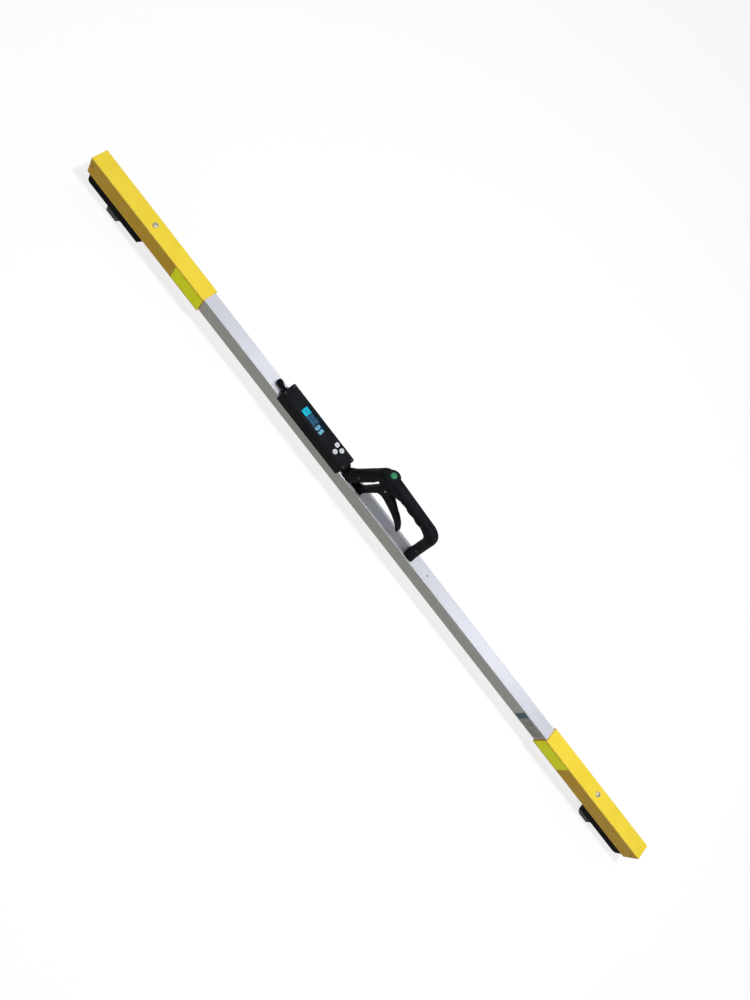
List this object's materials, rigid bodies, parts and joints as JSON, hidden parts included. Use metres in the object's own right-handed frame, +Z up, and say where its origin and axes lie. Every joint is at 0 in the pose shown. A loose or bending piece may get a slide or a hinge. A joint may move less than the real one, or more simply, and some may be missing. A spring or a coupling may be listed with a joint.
{
  "type": "track gauge bar",
  "caption": "Rail track gauge bar: box-section beam with end rest shoes, a fixed and a spring-loaded stop, squeeze handle with trigger lever, and a digital display box.",
  "frame": {"origin": "ground plane under the middle of the bar, level with the undersides of the two stops", "axes": "+X along the bar towards the fixed stop, -Y towards the user, +Z up"},
  "size_m": [1.6, 0.0342, 0.205],
  "materials": {
    "satin_aluminium": "satin extruded aluminium with fine lengthwise lines",
    "yellow_sleeve": "yellow insulating plastic with light scuffs",
    "black_nylon": "black nylon, fine moulded grain",
    "stop_steel": "dark grey coated steel",
    "bright_steel": "bright steel",
    "dark_screw": "dark browned steel",
    "black_plastic": "black moulded plastic, satin",
    "black_rubber": "black rubber",
    "lens": "clear tinted window",
    "display": "dark blue lit display",
    "board_green": "green circuit board",
    "battery_wrap": "blue shrink wrap",
    "key_mat_rubber": "grey silicone",
    "white_key": "white moulded key",
    "green_button": "green button",
    "sticker": "yellow-green reflective film",
    "teal_film": "dark teal film",
    "grey_plate": "plain grey plate",
    "white_plastic": "white acetal",
    "scale_film": "amber linear scale"
  },
  "bodies": {
    "beam": {"bar_extrusion": "satin_aluminium", "left_end_sleeve": "yellow_sleeve", "right_end_sleeve": "yellow_sleeve", "left_end_plug": "black_nylon", "right_end_plug": "black_nylon", "plug_screws": "dark_screw", "sleeve_screws": "bright_steel", "left_stickers": "sticker", "right_stickers": "sticker", "teal_band": "teal_film", "data_plate": "grey_plate", "left_shoe": "black_nylon", "right_shoe": "black_nylon", "left_seat_pad": "bright_steel", "right_seat_pad": "bright_steel", "shoe_screws": "bright_steel", "fixed_stop": "stop_steel", "fixed_gauge_face": "bright_steel", "fixed_stop_bolts": "bright_steel", "guide_rod": "bright_steel", "bulkhead": "satin_aluminium", "return_spring": "bright_steel", "rod_guides": "white_plastic", "linear_scale": "scale_film", "tilt_sensor": "board_green", "sensor_screw": "stop_steel", "slot_liner": "black_nylon", "display_base": "black_plastic", "display_cover": "black_plastic", "window_lens": "lens", "display_module": "display", "circuit_board": "board_green", "battery": "battery_wrap", "key_mat": "key_mat_rubber", "box_screws": "bright_steel", "cover_screws": "stop_steel", "toggle_switch": "black_plastic", "handle_near_half": "black_plastic", "handle_far_half": "black_plastic", "handle_screws": "stop_steel", "foot_gaskets": "black_rubber", "foot_screws": "bright_steel", "pivot_pin": "bright_steel", "micro_switch": "black_nylon"},
    "stop_head": {"movable_stop": "stop_steel", "movable_gauge_face": "bright_steel", "movable_stop_bolts": "bright_steel", "carriage": "satin_aluminium", "read_head": "board_green", "pull_rod": "bright_steel", "lock_nut": "bright_steel", "rod_clevis": "satin_aluminium"},
    "trigger": {"trigger_lever": "black_plastic", "lever_end_pin": "bright_steel"},
    "left_key": {"key_left": "white_key"},
    "front_key": {"key_front": "white_key"},
    "right_key": {"key_right": "white_key"},
    "thumb": {"thumb_button": "green_button"},
    "toggle": {"toggle_boot": "black_rubber"}
  },
  "joints": [
    {"name": "head_slide", "type": "slide", "parent": "beam", "child": "stop_head", "axis": [1, 0, 0], "range_m": [0, 0.05], "stiffness_N_per_m": 150, "springref_m": -0.05, "deforming": ["return_spring"]},
    {"name": "trigger_squeeze", "type": "hinge", "parent": "beam", "child": "trigger", "pos_m": [-0.0565, 0, 0.163], "axis": [0, -1, 0], "range_deg": [0, 29.46]},
    {"name": "left_key_press", "type": "slide", "parent": "beam", "child": "left_key", "axis": [0, 0, -1], "range_m": [0, 0.0008], "stiffness_N_per_m": 300, "springref_m": -0.0005},
    {"name": "front_key_press", "type": "slide", "parent": "beam", "child": "front_key", "axis": [0, 0, -1], "range_m": [0, 0.0008], "stiffness_N_per_m": 300, "springref_m": -0.0005},
    {"name": "right_key_press", "type": "slide", "parent": "beam", "child": "right_key", "axis": [0, 0, -1], "range_m": [0, 0.0008], "stiffness_N_per_m": 300, "springref_m": -0.0005},
    {"name": "thumb_press", "type": "slide", "parent": "beam", "child": "thumb", "axis": [0.2588, 0, -0.9659], "range_m": [0, 0.0015], "stiffness_N_per_m": 300, "springref_m": -0.0005},
    {"name": "toggle_flip", "type": "hinge", "parent": "beam", "child": "toggle", "pos_m": [-0.29797, -0.0025, 0.088], "axis": [0, 0, 1], "range_deg": [0, 24]}
  ],
  "couplings": [
    {"joint": "trigger_squeeze", "follows": "head_slide", "rad_per_m": 10.282}
  ]
}
